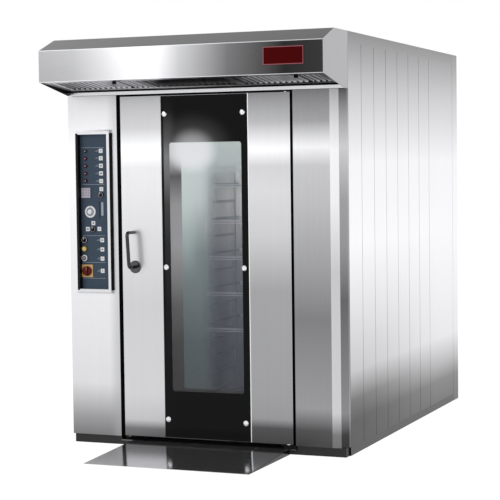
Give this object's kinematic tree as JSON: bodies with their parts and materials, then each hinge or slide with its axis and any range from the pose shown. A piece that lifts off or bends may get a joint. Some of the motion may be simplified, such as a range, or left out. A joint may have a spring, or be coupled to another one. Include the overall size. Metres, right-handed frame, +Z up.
{
  "type": "rotating rack oven",
  "caption": "Free-standing bakery oven with a tall glazed door, front extraction hood, control panel, loading ramp and a turning tray rack driven from the roof.",
  "frame": {"origin": "on the floor under the centre of the overall outline, ramp and hood included", "axes": "+Z up, +Y from the door to the back, +X across with the control panel on the -X side"},
  "size_m": [1.668, 2.943, 2.3],
  "materials": {
    "stainless": "brushed, vertical grain",
    "bright_steel": "polished",
    "dull_steel": "mill finish",
    "frame_steel": "primed",
    "black_strip": "matt",
    "black_rubber": "matt",
    "wheel_tread": "matt",
    "mineral_wool": "coarse felt",
    "cast": "machined",
    "motor_paint": "gloss paint",
    "heater": "heat tinted",
    "dark_glass": "gloss",
    "clear_glass": "gloss",
    "lamp_glass": "frosted",
    "handle_steel": "polished",
    "sign_red": "gloss enamel, bare",
    "board_blue": "satin film",
    "lamp_lens": "translucent",
    "display": "gloss",
    "black_knob": "satin",
    "white_knob": "satin",
    "yellow": "satin",
    "red": "satin"
  },
  "bodies": {
    "cabinet": {"frame": "frame_steel", "floor_pan": "dull_steel", "plinth": "black_strip", "ramp": "bright_steel", "left_post": "stainless", "right_post": "stainless", "door_head": "bright_steel", "right_side_panels": "stainless", "left_side_panels": "stainless", "edge_rails": "stainless", "rear_casing": "stainless", "roof_deck": "dull_steel", "insulation": "mineral_wool", "chamber_walls": "stainless", "air_louvres": "stainless", "fan_motor": "motor_paint", "heating_elements": "heater", "steam_generator": "cast", "chamber_lamp": "lamp_glass", "vent_stack": "stainless", "gearmotor": "motor_paint", "drive_belts": "black_rubber", "shaft_bearing": "cast", "hood_shell": "stainless", "hood_filters": "dull_steel", "sign_plate": "sign_red", "control_bezel": "stainless", "control_board": "board_blue", "indicator_lamps": "lamp_lens", "timer_display": "display", "main_switch_plate": "yellow", "hinge_brackets": "bright_steel"},
    "door": {"door_skin": "stainless", "door_core": "mineral_wool", "door_glass": "dark_glass", "inner_glass": "clear_glass", "door_seal": "black_rubber", "door_fittings": "bright_steel"},
    "handle": {"door_handle": "handle_steel"},
    "rack": {"rack_shaft": "bright_steel", "rack_pulley": "cast", "rack_carrier": "dull_steel", "rack_frame": "stainless", "tray_runners": "stainless"},
    "left_fork": {"castor_fork_left": "bright_steel"},
    "right_fork": {"castor_fork_right": "bright_steel"},
    "left_castor_wheel": {"castor_wheel_left": "wheel_tread"},
    "right_castor_wheel": {"castor_wheel_right": "wheel_tread"},
    "left_rear_wheel": {"rear_wheel_left": "wheel_tread"},
    "right_rear_wheel": {"rear_wheel_right": "wheel_tread"},
    "motor_pulley": {"drive_pulley": "cast"},
    "fan": {"circulation_fan": "dull_steel"},
    "damper": {"damper_flap": "dull_steel"},
    "timer": {"timer_dial": "white_knob"},
    "light_switch": {"light_selector": "black_knob"},
    "fan_switch": {"fan_selector": "black_knob"},
    "steam_switch": {"steam_selector": "black_knob"},
    "start": {"start_button": "yellow"},
    "stop": {"stop_button": "white_knob"},
    "main_switch": {"main_switch_knob": "red"}
  },
  "joints": [
    {"name": "door_swing", "type": "hinge", "parent": "cabinet", "child": "door", "pos_m": [0.494, -0.8565, 1], "axis": [0, 0, 1], "range_deg": [0, 110]},
    {"name": "handle_turn", "type": "hinge", "parent": "door", "child": "handle", "pos_m": [-0.42, -0.8715, 1.019], "axis": [0, 1, 0], "range_deg": [0, 90]},
    {"name": "rack_turn", "type": "hinge", "parent": "cabinet", "child": "rack", "pos_m": [0.012, -0.1325, 1], "axis": [0, 0, 1], "continuous": true},
    {"name": "motor_pulley_turn", "type": "hinge", "parent": "cabinet", "child": "motor_pulley", "pos_m": [0.012, 0.2225, 2.198], "axis": [0, 0, 1], "continuous": true},
    {"name": "fan_spin", "type": "hinge", "parent": "cabinet", "child": "fan", "pos_m": [0, 0.853, 1.75], "axis": [0, 0, 1], "continuous": true},
    {"name": "damper_turn", "type": "hinge", "parent": "cabinet", "child": "damper", "pos_m": [0.392, -0.1325, 2.078], "axis": [0, 1, 0], "range_deg": [0, 90]},
    {"name": "left_castor_swivel", "type": "hinge", "parent": "rack", "child": "left_fork", "pos_m": [-0.268, -0.5175, 0.15], "axis": [0, 0, 1], "continuous": true},
    {"name": "left_castor_roll", "type": "hinge", "parent": "left_fork", "child": "left_castor_wheel", "pos_m": [-0.268, -0.4895, 0.092], "axis": [1, 0, 0], "continuous": true},
    {"name": "left_rear_roll", "type": "hinge", "parent": "rack", "child": "left_rear_wheel", "pos_m": [-0.268, 0.2525, 0.092], "axis": [1, 0, 0], "continuous": true},
    {"name": "right_castor_swivel", "type": "hinge", "parent": "rack", "child": "right_fork", "pos_m": [0.292, -0.5175, 0.15], "axis": [0, 0, 1], "continuous": true},
    {"name": "right_castor_roll", "type": "hinge", "parent": "right_fork", "child": "right_castor_wheel", "pos_m": [0.292, -0.4895, 0.092], "axis": [1, 0, 0], "continuous": true},
    {"name": "right_rear_roll", "type": "hinge", "parent": "rack", "child": "right_rear_wheel", "pos_m": [0.292, 0.2525, 0.092], "axis": [1, 0, 0], "continuous": true},
    {"name": "timer_turn", "type": "hinge", "parent": "cabinet", "child": "timer", "pos_m": [-0.704, -0.8635, 1.331], "axis": [0, 1, 0], "range_deg": [0, 270]},
    {"name": "light_turn", "type": "hinge", "parent": "cabinet", "child": "light_switch", "pos_m": [-0.635, -0.8635, 1.428], "axis": [0, 1, 0], "range_deg": [0, 90]},
    {"name": "fan_turn", "type": "hinge", "parent": "cabinet", "child": "fan_switch", "pos_m": [-0.688, -0.8635, 1.232], "axis": [0, 1, 0], "range_deg": [0, 90]},
    {"name": "steam_turn", "type": "hinge", "parent": "cabinet", "child": "steam_switch", "pos_m": [-0.744, -0.8635, 1.17], "axis": [0, 1, 0], "range_deg": [0, 90]},
    {"name": "main_switch_turn", "type": "hinge", "parent": "cabinet", "child": "main_switch", "pos_m": [-0.728, -0.8635, 0.992], "axis": [0, 1, 0], "range_deg": [0, 90]},
    {"name": "start_press", "type": "slide", "parent": "cabinet", "child": "start", "axis": [0, 1, 0], "range_m": [0, 0.004], "stiffness_N_per_m": 400},
    {"name": "stop_press", "type": "slide", "parent": "cabinet", "child": "stop", "axis": [0, 1, 0], "range_m": [0, 0.004], "stiffness_N_per_m": 400}
  ],
  "couplings": [
    {"joint": "motor_pulley_turn", "follows": "rack_turn", "ratio": 1}
  ]
}
